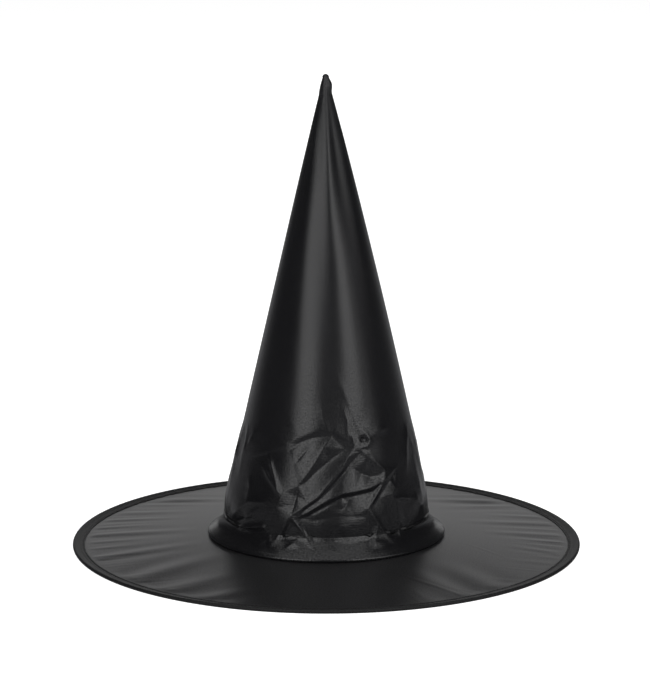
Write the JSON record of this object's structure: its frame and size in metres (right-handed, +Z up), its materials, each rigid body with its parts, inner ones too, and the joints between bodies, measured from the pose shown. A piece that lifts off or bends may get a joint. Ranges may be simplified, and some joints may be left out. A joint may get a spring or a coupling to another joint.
{
  "type": "witch hat",
  "caption": "Pointed black satin costume hat: a tall soft cone on a flat round brim, both held open by steel hoops, with a tip that flops over.",
  "frame": {"origin": "on the hat's axis, on the plane that the brim's edge rests on", "axes": "+Z up along the cone, +X to the wearer's left as seen from the front, -Y out of the front of the hat, the back seam at +Y"},
  "size_m": [0.38, 0.38, 0.3545],
  "materials": {
    "cone_satin": "glossy black polyester satin, crumpled above the foot",
    "brim_satin": "black polyester satin stretched flat, duller than the cone",
    "binding_tape": "ribbed black woven tape",
    "interlining": "matt black pressed nonwoven",
    "sewing_thread": "black spun polyester thread",
    "label_tape": "white woven tape, blank",
    "spring_steel": "drawn spring steel wire",
    "crimped_steel": "plated steel tube, crimped"
  },
  "bodies": {
    "hat": {"brim_hoop_wire": "spring_steel", "brim_hoop_sleeve": "crimped_steel", "brim_top_panel": "brim_satin", "brim_under_panel": "brim_satin", "brim_edge_binding": "binding_tape", "binding_end_lap": "binding_tape", "binding_stitching_top": "sewing_thread", "binding_stitching_under": "sewing_thread", "cone_ring_wire": "spring_steel", "cone_ring_sleeve": "crimped_steel", "opening_seam_binding": "binding_tape", "opening_seam_stitching": "sewing_thread", "cone_lower_satin": "cone_satin", "cone_bend_satin": "cone_satin", "cone_lower_interlining": "interlining", "cone_bend_interlining": "interlining", "back_seam_lower": "cone_satin", "back_seam_bend": "cone_satin", "care_label": "label_tape"},
    "cone_tip": {"cone_tip_satin": "cone_satin", "cone_tip_interlining": "interlining", "back_seam_tip": "cone_satin", "tip_gather": "cone_satin"}
  },
  "joints": [
    {"name": "tip_flop", "type": "hinge", "parent": "hat", "child": "cone_tip", "pos_m": [0, 0, 0.235], "axis": [0, 1, 0], "range_deg": [-75, 75], "stiffness_Nm_per_rad": 0.01, "deforming": ["cone_bend_satin", "cone_bend_interlining", "back_seam_bend"]}
  ]
}
